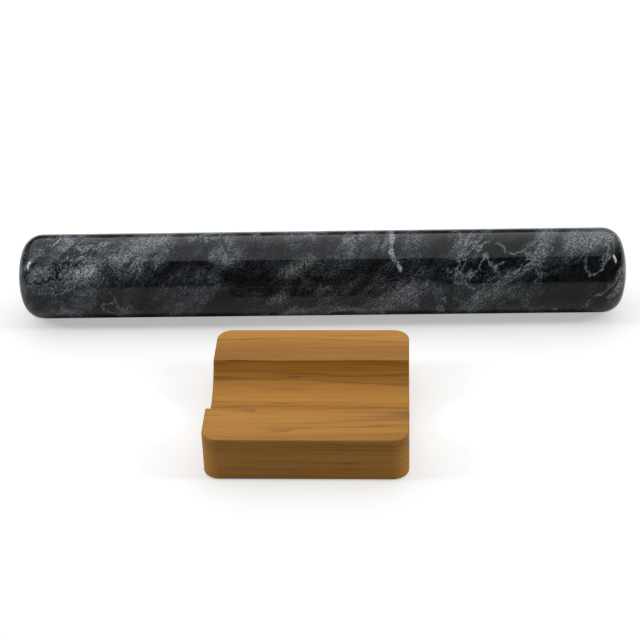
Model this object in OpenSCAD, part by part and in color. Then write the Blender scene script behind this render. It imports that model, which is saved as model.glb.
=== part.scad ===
// Marble rolling pin without handles, lying on the table behind the wooden
// cradle that stores it. Millimetres, +Z up. X runs along the trough, the
// front of the cradle faces -Y, and the origin is the middle of its underside.

/* [Roller] */
// Diameter of the straight barrel
roller_d = 57; // [45:0.5:65]
// Length from end to end
roller_len = 408; // [300:1:500]
// Radius of the round between the barrel and each end face
end_round = 13.5; // [6:0.5:20]
// Radius of the shallow dome that each end face is turned to
end_dome_r = 60; // [45:1:200]

/* [Cradle block] */
// Length along the trough
cradle_len = 122; // [90:1:200]
// Size from the front face to the rear face
cradle_depth = 120; // [90:1:180]
// Height of the two flat lands
cradle_h = 28.5; // [22:0.5:45]
// Radius of the four upright corners
corner_r = 10; // [4:0.5:25]
// Radius of the eased edges round the top and the underside
edge_ease = 1.2; // [0.4:0.1:3]

/* [Trough] */
// Depth of the trough below the lands
trough_depth = 16; // [8:0.5:18]
// How much larger the trough's radius is than the roller's
trough_gap = 0.75; // [0.4:0.05:3]
// How far the trough lies in front of the middle of the block
trough_shift = 1.5; // [0:0.5:8]
// Radius of the eased lips between the trough and the lands
lip_ease = 1; // [0.3:0.1:3]
// Width of the chamfer where the trough runs out at each end
mouth_chamfer = 0.8; // [0.3:0.1:2]

/* [Where the roller lies] */
// Space on the table between the cradle's rear face and the barrel
roller_gap = 42; // [5:0.5:120]
// How far the middle of the roller lies to the right of the cradle's
roller_shift = 2; // [-60:0.5:60]
// Angle of the roller to the trough, its right end farther back, in degrees
roller_turn = 1.1; // [-3:0.1:3]

/* [Hidden] */
$fn = 128;
roller_r = roller_d / 2;
trough_r = roller_r + trough_gap;
trough_z = cradle_h - trough_depth + trough_r;
roller_y = cradle_depth / 2 + roller_gap + roller_r;
// Cutting tools run this far past the faces that they cut
overrun = 5;

// Rectangle that stands on the origin's line, with its four corners rounded
module eased_rect(width, height, ease) {
    translate([-width / 2 + ease, 0]) square([width - 2 * ease, height]);
    translate([-width / 2, ease]) square([width, height - 2 * ease]);
    for (side = [-1, 1], level = [ease, height - ease])
        translate([side * (width / 2 - ease), level]) circle(ease);
}

// One end of the turned profile: radius along X, distance from the middle along Y
module roller_end() {
    dome_y = roller_len / 2 - end_dome_r;
    round_x = roller_r - end_round;
    round_y = dome_y + sqrt(pow(end_dome_r - end_round, 2) - pow(round_x, 2));
    // The dome and the round meet on the ray through both their centres
    reach = 2 * end_dome_r / norm([round_x, round_y - dome_y]);
    square([roller_r, round_y]);
    // A large round would reach past the axis on a thin roller
    intersection() {
        translate([round_x, round_y]) circle(end_round);
        square([roller_r, roller_len]);
    }
    translate([0, dome_y]) intersection() {
        circle(end_dome_r);
        polygon([[0, 0], reach * [round_x, round_y - dome_y], [0, 2 * end_dome_r]]);
    }
}

// Solid marble cylinder, turned and polished in one piece
module roller() {
    color([0.24, 0.25, 0.27])
    translate([roller_shift, roller_y, roller_r])
    rotate([0, 0, roller_turn])
    rotate([0, 90, 0])
    rotate_extrude() {
        roller_end();
        mirror([0, 1]) roller_end();
    }
}

// Block with rounded upright corners and eased edges: two crossed slabs and
// four turned corner posts, which share their faces
module eased_block() {
    rotate([90, 0, 90])
        linear_extrude(cradle_len - 2 * corner_r, center = true)
            eased_rect(cradle_depth, cradle_h, edge_ease);
    rotate([90, 0, 0])
        linear_extrude(cradle_depth - 2 * corner_r, center = true)
            eased_rect(cradle_len, cradle_h, edge_ease);
    for (x = [-1, 1], y = [-1, 1])
        translate([x * (cradle_len / 2 - corner_r), y * (cradle_depth / 2 - corner_r), 0])
            rotate_extrude() intersection() {
                eased_rect(2 * corner_r, cradle_h, edge_ease);
                square([corner_r, cradle_h]);
            }
}

// Section of the trough from its centre down, flared at the lips by the round
// that eases each of them
module trough_section() {
    lip_y = trough_depth - trough_r - lip_ease;
    lip_x = sqrt(pow(trough_r + lip_ease, 2) - pow(lip_y, 2));
    // Where the round meets the trough's wall
    wall = trough_r / (trough_r + lip_ease) * [lip_x, lip_y];
    circle(trough_r);
    difference() {
        polygon([
            wall,
            [lip_x, lip_y],
            [lip_x, overrun],
            [-lip_x, overrun],
            [-lip_x, lip_y],
            [-wall.x, wall.y]
        ]);
        for (side = [-1, 1]) translate([side * lip_x, lip_y]) circle(lip_ease);
    }
}

// What the cutter takes out: the trough, and a chamfer at each of its ends
module trough_cut() {
    translate([0, -trough_shift, trough_z]) {
        rotate([90, 0, 90])
            linear_extrude(cradle_len + 2 * overrun, center = true) trough_section();
        for (side = [-1, 1])
            translate([side * (cradle_len / 2 - mouth_chamfer), 0, 0])
                rotate([0, side * 90, 0])
                    cylinder(h = 2 * mouth_chamfer, r1 = trough_r, r2 = trough_r + 2 * mouth_chamfer);
    }
}

// One block of hardwood, its grain along the trough
module cradle() {
    color([0.64, 0.43, 0.23])
    difference() {
        eased_block();
        trough_cut();
    }
}

cradle();
roller();
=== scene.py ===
import bpy, math
from mathutils import Matrix, Vector


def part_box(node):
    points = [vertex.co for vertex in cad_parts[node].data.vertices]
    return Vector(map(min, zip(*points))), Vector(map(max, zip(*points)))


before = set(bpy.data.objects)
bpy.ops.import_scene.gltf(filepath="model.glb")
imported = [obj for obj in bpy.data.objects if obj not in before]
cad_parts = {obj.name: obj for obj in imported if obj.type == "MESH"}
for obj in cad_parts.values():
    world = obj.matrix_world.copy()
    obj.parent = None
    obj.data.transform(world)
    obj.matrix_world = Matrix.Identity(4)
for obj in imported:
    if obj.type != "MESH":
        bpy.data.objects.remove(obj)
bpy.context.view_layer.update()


# Camera: in front of the cradle and above it, a little to the right, with a
# long lens whose picture the roller fills from side to side. The lens isn't
# shifted. Metres, degrees, and millimetres for the lens.
camera_at = Vector((0.0591, -0.8577, 0.6143))
looks_down = 32.19
looks_left = 3.415
leans = -1.866
lens_mm = 95.9
sensor_mm = 36

camera = bpy.data.objects.new("camera", bpy.data.cameras.new("camera"))
bpy.context.scene.collection.objects.link(camera)
camera.data.lens = lens_mm
camera.data.sensor_width = sensor_mm
turn = (
    Matrix.Rotation(math.radians(looks_left), 4, "Z")
    @ Matrix.Rotation(math.radians(90 - looks_down), 4, "X")
    @ Matrix.Rotation(math.radians(leans), 4, "Z")
)
camera.matrix_world = Matrix.Translation(camera_at) @ turn
bpy.context.scene.camera = camera


# Roller: one solid bar of dark grey marble, turned round, domed at the ends
# and polished all over. The stone is cloudy charcoal, sugary with crystals,
# and cut by black veins and pale wisps that lean to the left as they fall.
roller_low, roller_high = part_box("roller")
roller_middle = (roller_low + roller_high) / 2
# Degrees that the roller lies turned from the trough's direction
roller_turned = 1.1


# A shader socket whose operators add Math nodes
class Wire:
    def __init__(self, nodes, socket):
        self.nodes, self.socket = nodes, socket

    def math(self, operation, *others):
        return self.nodes.math(operation, self, *others)

    def __add__(self, other):
        return self.math("ADD", other)

    def __mul__(self, other):
        return self.math("MULTIPLY", other)

    def __sub__(self, other):
        return self.math("SUBTRACT", other)

    def __rsub__(self, other):
        return self.nodes.math("SUBTRACT", other, self)

    __radd__ = __add__
    __rmul__ = __mul__


# The node tree of a material or of the world. A noise's scale is per metre, so
# one of 50 has lumps about 20 mm apart, and an amount is in metres.
class Nodes:
    def __init__(self, owner):
        owner.use_nodes = True
        self.owner, self.tree = owner, owner.node_tree
        self.tree.nodes.clear()

    def add(self, kind, settings=None, inputs=None, out=0):
        node = self.tree.nodes.new(kind)
        for key, value in (settings or {}).items():
            if key == "stops":
                elements = node.color_ramp.elements
                while len(elements) < len(value):
                    elements.new(0.5)
                for element, (position, colour) in zip(elements, value):
                    element.position = position
                    element.color = (*colour, 1)
            else:
                setattr(node, key, value)
        for key, value in (inputs or {}).items():
            if isinstance(value, Wire):
                self.tree.links.new(value.socket, node.inputs[key])
            else:
                node.inputs[key].default_value = value
        return Wire(self, node.outputs[out]) if node.outputs else None

    def math(self, operation, *values):
        return self.add("ShaderNodeMath", {"operation": operation}, dict(enumerate(values)))

    def vector_math(self, operation, first, second, out=0):
        return self.add("ShaderNodeVectorMath", {"operation": operation}, {0: first, 1: second}, out)

    def stretch(self, vector, factors):
        return self.vector_math("MULTIPLY", vector, factors)

    def shift(self, vector, by):
        return self.vector_math("ADD", vector, by)

    def distance_along(self, vector, direction):
        return self.vector_math("DOT_PRODUCT", vector, direction, "Value")

    def join(self, x, y, z):
        return self.add("ShaderNodeCombineXYZ", None, {0: x, 1: y, 2: z})

    def parts(self, vector):
        return [self.add("ShaderNodeSeparateXYZ", None, {0: vector}, axis) for axis in "XYZ"]

    def from_middle(self, middle, turned=0.0):
        # Object coordinates, moved and turned so that the piece's own middle is at zero
        here = self.add("ShaderNodeTexCoord", out="Object")
        return self.add("ShaderNodeMapping", {"vector_type": "TEXTURE"}, {
            "Vector": here, "Location": tuple(middle), "Rotation": (0, 0, math.radians(turned)),
        })

    def noise(self, vector, scale, detail, rough=0.5, out=0):
        return self.add("ShaderNodeTexNoise", None, {
            "Vector": vector, "Scale": scale, "Detail": detail, "Roughness": rough,
        }, out)

    def warp(self, vector, scale, amount):
        # Moves a point by a noise's colour, whose middle is 0.5 on each axis
        colour = self.noise(vector, scale, detail=2, out="Color")
        off_middle = self.vector_math("SUBTRACT", colour, (0.5, 0.5, 0.5))
        return self.shift(vector, self.stretch(off_middle, (amount, amount, amount)))

    def step(self, value, low, high):
        # 0 below low, 1 above high, with a smooth rise between
        return self.add("ShaderNodeMapRange", {"interpolation_type": "SMOOTHSTEP"}, {
            "Value": value, "From Min": low, "From Max": high, "To Min": 0.0, "To Max": 1.0,
        })

    def mix(self, factor, first, second, blend="MIX"):
        # The Mix node's colours are its inputs 6 and 7 and its output 2
        first, second = (value if isinstance(value, Wire) else (*value, 1) for value in (first, second))
        return self.add("ShaderNodeMix", {"data_type": "RGBA", "blend_type": blend}, {
            0: factor, 6: first, 7: second,
        }, out=2)

    def mix_shaders(self, factor, first, second):
        return self.add("ShaderNodeMixShader", None, {0: factor, 1: first, 2: second})

    def surface(self, shader, kind="ShaderNodeOutputMaterial"):
        self.add(kind, None, {"Surface": shader})
        return self.owner


# The stone's own axes: along the bar, up as the front camera sees it, and
# through the bar towards that camera
marble = Nodes(bpy.data.materials.new("marble"))
stone = marble.from_middle(roller_middle, roller_turned)
view_slope = math.radians(31)
along = marble.parts(stone)[0]
up = marble.distance_along(stone, (0, math.sin(view_slope), math.cos(view_slope)))
through = marble.distance_along(stone, (0, -math.cos(view_slope), math.sin(view_slope)))
bar = marble.join(along, up, through)

# The clouds are drawn out along a slope that falls to the left, and a little
# through the bar: a coordinate with a smaller factor makes them longer
slope_run, slope_rise = 0.62, 0.75
down_slope, through_bar = 0.42, 0.6
leaned = marble.join(
    along * slope_rise - up * slope_run,
    (along * slope_run + up * slope_rise) * down_slope,
    through * through_bar,
)
swirled = marble.warp(marble.warp(leaned, scale=16, amount=0.034), scale=55, amount=0.009)
bent = marble.warp(marble.warp(bar, scale=38, amount=0.011), scale=170, amount=0.0035)

cloud = marble.noise(swirled, scale=34, detail=6, rough=0.62)
mottle = marble.noise(swirled, scale=120, detail=5, rough=0.6)
cloud_share = 0.72
tone = marble.step(cloud * cloud_share + mottle * (1 - cloud_share), 0.38, 0.64)

jet = (0.004, 0.0045, 0.005)
charcoal = (0.006, 0.007, 0.008)
graphite = (0.023, 0.027, 0.031)
slate = (0.055, 0.063, 0.072)
pewter = (0.135, 0.15, 0.166)
ash = (0.19, 0.205, 0.22)
colour = marble.add("ShaderNodeValToRGB", {
    "stops": [(0.0, charcoal), (0.42, graphite), (0.7, slate), (1.0, pewter)],
}, {0: tone})
bent_x, bent_y, _ = marble.parts(bent)


# A vein or streak, given one by one: a straight run along the bar and up it, from
# one point to another, which the warp bends. Its edge fades over soft. All in
# millimetres from the roller's middle.
def run_of_stone(start, end, width, soft):
    start_x, start_y, end_x, end_y = (place / 1000 for place in (*start, *end))
    run_x, run_y = end_x - start_x, end_y - start_y
    length = math.hypot(run_x, run_y)
    x, y = bent_x - start_x, bent_y - start_y
    share = x * (run_x / length**2) + y * (run_y / length**2)
    share = share.math("MAXIMUM", 0.0).math("MINIMUM", 1.0)
    off_x, off_y = x - share * run_x, y - share * run_y
    off = (off_x * off_x + off_y * off_y).math("SQRT")
    inner, outer = max(width - soft, 0) / 2, (width + soft) / 2
    return 1 - marble.step(off, inner / 1000, outer / 1000)


# Start, end, width, soft, strength and colour of the pale streaks
pale_runs = [
    ((-197, -10), (-146, 5), 7, 6, 0.5, (0.10, 0.14, 0.13)),
    ((-160, 2), (-150, 5), 6, 4, 0.75, (0.30, 0.31, 0.31)),
    ((-131, 10), (-106, 26), 14, 12, 0.6, (0.17, 0.19, 0.20)),
    ((-22, 1), (-6, 9), 8, 8, 0.45, (0.15, 0.17, 0.17)),
    ((47, 28), (48, 14), 3, 2.5, 0.8, (0.24, 0.26, 0.28)),
    ((48, 14), (53, 1), 3, 2.5, 0.8, (0.24, 0.26, 0.28)),
    ((140, 12), (152, 27), 9, 10, 0.5, (0.17, 0.18, 0.20)),
    ((168, 20), (196, 22), 12, 12, 0.55, (0.18, 0.20, 0.21)),
    ((112, -14), (135, -17), 7, 8, 0.35, (0.12, 0.13, 0.13)),
]
# Start, end, width, soft and strength of the black veins
black_runs = [
    ((-188, 8), (-173, 26), 2.2, 2, 0.8),
    ((-176, 9), (-160, 12), 2, 2, 0.6),
    ((-122, 2), (-108, 12), 1.6, 1.5, 0.8),
    ((-95, 6), (-78, 9), 9, 6, 0.75),
    ((-78, 9), (-52, -5), 8, 6, 0.8),
    ((-79, 26), (-72, 8), 1.6, 1.5, 0.8),
    ((-66, 27), (-60, 14), 1.4, 1.3, 0.75),
    ((-40, 17), (-16, 20), 1.3, 1.2, 0.7),
    ((-50, 15), (-40, 17), 1.6, 1.4, 0.75),
    ((-8, -2), (12, -8), 5, 4, 0.7),
    ((25, 28), (24, 8), 2, 2, 0.7),
    ((42, 28), (34, 8), 3, 3, 0.7),
    ((34, 8), (14, -12), 3, 4, 0.6),
    ((86, 28), (72, 4), 4, 5, 0.6),
    ((108, 28), (92, 2), 6, 6, 0.6),
    ((124, 28), (104, 4), 7, 7, 0.55),
    ((72, 2), (120, 4), 5, 5, 0.6),
    ((132, 20), (136, 6), 2, 2, 0.6),
    ((166, 8), (190, 13), 6, 5, 0.65),
    ((150, 2), (176, 6), 4, 4, 0.6),
]
for start, end, width, soft, strength, tint in pale_runs:
    colour = marble.mix(run_of_stone(start, end, width, soft) * strength, colour, tint)
for start, end, width, soft, strength in black_runs:
    colour = marble.mix(run_of_stone(start, end, width, soft) * strength, colour, jet)


# A thread of stone runs where a noise crosses its middle value, in patches
# that a broader noise gives. The core and the edge are how far from that value.
def threads(vector, scale, core, edge, patch_scale, patch_low, patch_high):
    off = (marble.noise(vector, scale, detail=5, rough=0.6) - 0.5).math("ABSOLUTE")
    patches = marble.step(marble.noise(bar, patch_scale, detail=2), patch_low, patch_high)
    return (1 - marble.step(off, core, edge)) * patches


black_threads = threads(swirled, 26, 0.002, 0.018, patch_scale=14, patch_low=0.42, patch_high=0.6)
colour = marble.mix(black_threads * 0.92, colour, jet)
elsewhere = marble.shift(swirled, (0.3, 0.1, 0.2))
pale_threads = threads(elsewhere, 30, 0.0, 0.02, patch_scale=17, patch_low=0.5, patch_high=0.66)
colour = marble.mix(pale_threads * 0.6, colour, ash)

# Crystals: each grain of about half a millimetre is its own shade of grey
cells = marble.add("ShaderNodeTexVoronoi", {"feature": "F1"}, {"Vector": stone, "Scale": 1500}, "Color")
crystal = marble.parts(cells)[0]
fine = marble.noise(stone, scale=900, detail=3, rough=0.7)
sparkle = marble.step(crystal * 0.65 + fine * 0.35, 0.15, 0.9).math("POWER", 1.6)
warm, cool = sparkle * 2.4 + 0.3, sparkle * 2.45 + 0.29
colour = marble.mix(1.0, colour, marble.join(warm, warm, cool), "MULTIPLY")

# Broad patches where the grey turns a little green or violet
greenish, violet = (0.82, 1.1, 1.0), (1.05, 0.96, 1.16)
elsewhere = marble.shift(bar, (0.5, 0.2, 0.1))
for vector, strength, cast in ((bar, 0.35, greenish), (elsewhere, 0.4, violet)):
    patch = marble.step(marble.noise(vector, scale=12, detail=1), 0.5, 0.68)
    colour = marble.mix(patch * strength, colour, marble.mix(1.0, colour, cast, "MULTIPLY"))


def finish_node(name, material):
    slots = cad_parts[name].data.materials
    slots.clear()
    slots.append(material)


polish = marble.add("ShaderNodeBump", None, {"Height": fine, "Strength": 0.02, "Distance": 0.0002})
finish_node("roller", marble.surface(marble.add("ShaderNodeBsdfPrincipled", None, {
    "Base Color": colour,
    "Roughness": marble.noise(bar, scale=60, detail=3) * 0.06 + 0.05,
    "IOR": 1.36,
    "Normal": polish,
})))


# Cradle: one block of oiled hardwood, sawn with its grain along the trough,
# its corners and edges sanded round and the trough cut with a round cutter.
cradle_low, cradle_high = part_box("cradle")
wood = Nodes(bpy.data.materials.new("wood"))
block = wood.from_middle((cradle_low + cradle_high) / 2)


def along_grain(factor):
    # A smaller factor makes a pattern longer along the trough
    return wood.stretch(block, (factor, 1, 1))


# The heart of the tree lies below and behind the block. Metres.
heart_back, heart_down = 0.055, -0.115
rings_per_metre = 210
straight = along_grain(0.08)
bowed = wood.warp(wood.warp(straight, scale=22, amount=0.012), scale=90, amount=0.0022)
_, across, height = wood.parts(bowed)
back, down = across - heart_back, height - heart_down
from_heart = (back * back + down * down).math("SQRT")
ring = (from_heart * rings_per_metre + wood.noise(straight, scale=40, detail=4) * 7).math("FRACT")
ring_line = wood.step(ring, 0.6, 0.93) * (1 - wood.step(ring, 0.95, 1.0))
ring_strength = wood.step(wood.noise(straight, scale=75, detail=3), 0.4, 0.66)
board = wood.noise(along_grain(0.05), scale=42, detail=3)
fibre = wood.noise(along_grain(0.018), scale=900, detail=4, rough=0.7)
fleck = wood.noise(along_grain(0.05), scale=420, detail=3, rough=0.6)

honey = (0.52, 0.235, 0.034)
chestnut = (0.34, 0.135, 0.014)
umber = (0.12, 0.040, 0.006)
straw = (0.60, 0.29, 0.055)
wood_colour = wood.mix(wood.step(board, 0.34, 0.7), honey, chestnut)
wood_colour = wood.mix(ring_line * ring_strength * 0.62, wood_colour, umber)
wood_colour = wood.mix(wood.step(fibre, 0.35, 0.75) * 0.4, wood_colour, straw)
wood_colour = wood.mix(wood.step(fleck, 0.6, 0.74) * 0.5, wood_colour, umber)
grain = wood.add("ShaderNodeBump", None, {
    "Height": fibre * 0.6 + ring_line * 0.4, "Strength": 0.18, "Distance": 0.0003,
})
finish_node("cradle", wood.surface(wood.add("ShaderNodeBsdfPrincipled", None, {
    "Base Color": wood_colour,
    "Roughness": 0.42 + fibre * 0.12,
    "IOR": 1.33,
    "Normal": grain,
})))


# Table: a plain matt white top, just under the pieces. To the camera it looks
# a little brighter than the lamps make it, so that it stays white and still
# keeps its shadows.
table_size = 8
table_z = -0.0002
table_glow = 0.43
table = Nodes(bpy.data.materials.new("table"))
seen = table.math(
    "MAXIMUM",
    table.add("ShaderNodeLightPath", out="Is Camera Ray"),
    table.add("ShaderNodeLightPath", out="Is Transmission Ray"),
)
lit = table.add("ShaderNodeBsdfDiffuse", None, {"Color": (0.70, 0.70, 0.69, 1)})
glow = table.add("ShaderNodeEmission", None, {"Color": (1, 1, 1, 1), "Strength": table_glow})
brighter = table.add("ShaderNodeAddShader", None, {0: lit, 1: glow})
bpy.ops.mesh.primitive_plane_add(size=table_size, location=(0, 0, table_z))
floor = bpy.context.object
floor.name = "table"
floor.data.materials.append(table.surface(table.mix_shaders(seen, lit, brighter)))


# Light: a wide soft box overhead and behind, and a small one at each side. The
# room beyond them is dark to the stone, and pale to the camera.
def soft_box(name, at, aim, size, power):
    data = bpy.data.lights.new(name, "AREA")
    data.shape = "RECTANGLE"
    data.size, data.size_y = size
    data.energy = power
    lamp = bpy.data.objects.new(name, data)
    bpy.context.scene.collection.objects.link(lamp)
    lamp.location = at
    lamp.rotation_mode = "QUATERNION"
    lamp.rotation_quaternion = (Vector(aim) - Vector(at)).to_track_quat("-Z", "Y")


soft_box("overhead", at=(0, 1.3, 1.2), aim=(0, 1.3, 0), size=(3.2, 3.3), power=36)
for name, side in (("left side", -1), ("right side", 1)):
    soft_box(name, at=(side * 1.15, -0.1, 0.75), aim=(0, 0.05, 0), size=(0.22, 0.45), power=5)

world = bpy.data.worlds.new("room")
bpy.context.scene.world = world
room = Nodes(world)
dim = room.add("ShaderNodeBackground", None, {"Color": (0.9, 0.95, 1, 1), "Strength": 0.06})
pale = room.add("ShaderNodeBackground", None, {"Color": (0.8, 0.8, 0.8, 1), "Strength": 1.0})
to_camera = room.add("ShaderNodeLightPath", out="Is Camera Ray")
room.surface(room.mix_shaders(to_camera, dim, pale), "ShaderNodeOutputWorld")
bpy.context.scene.view_settings.view_transform = "Standard"

bpy.context.view_layer.update()
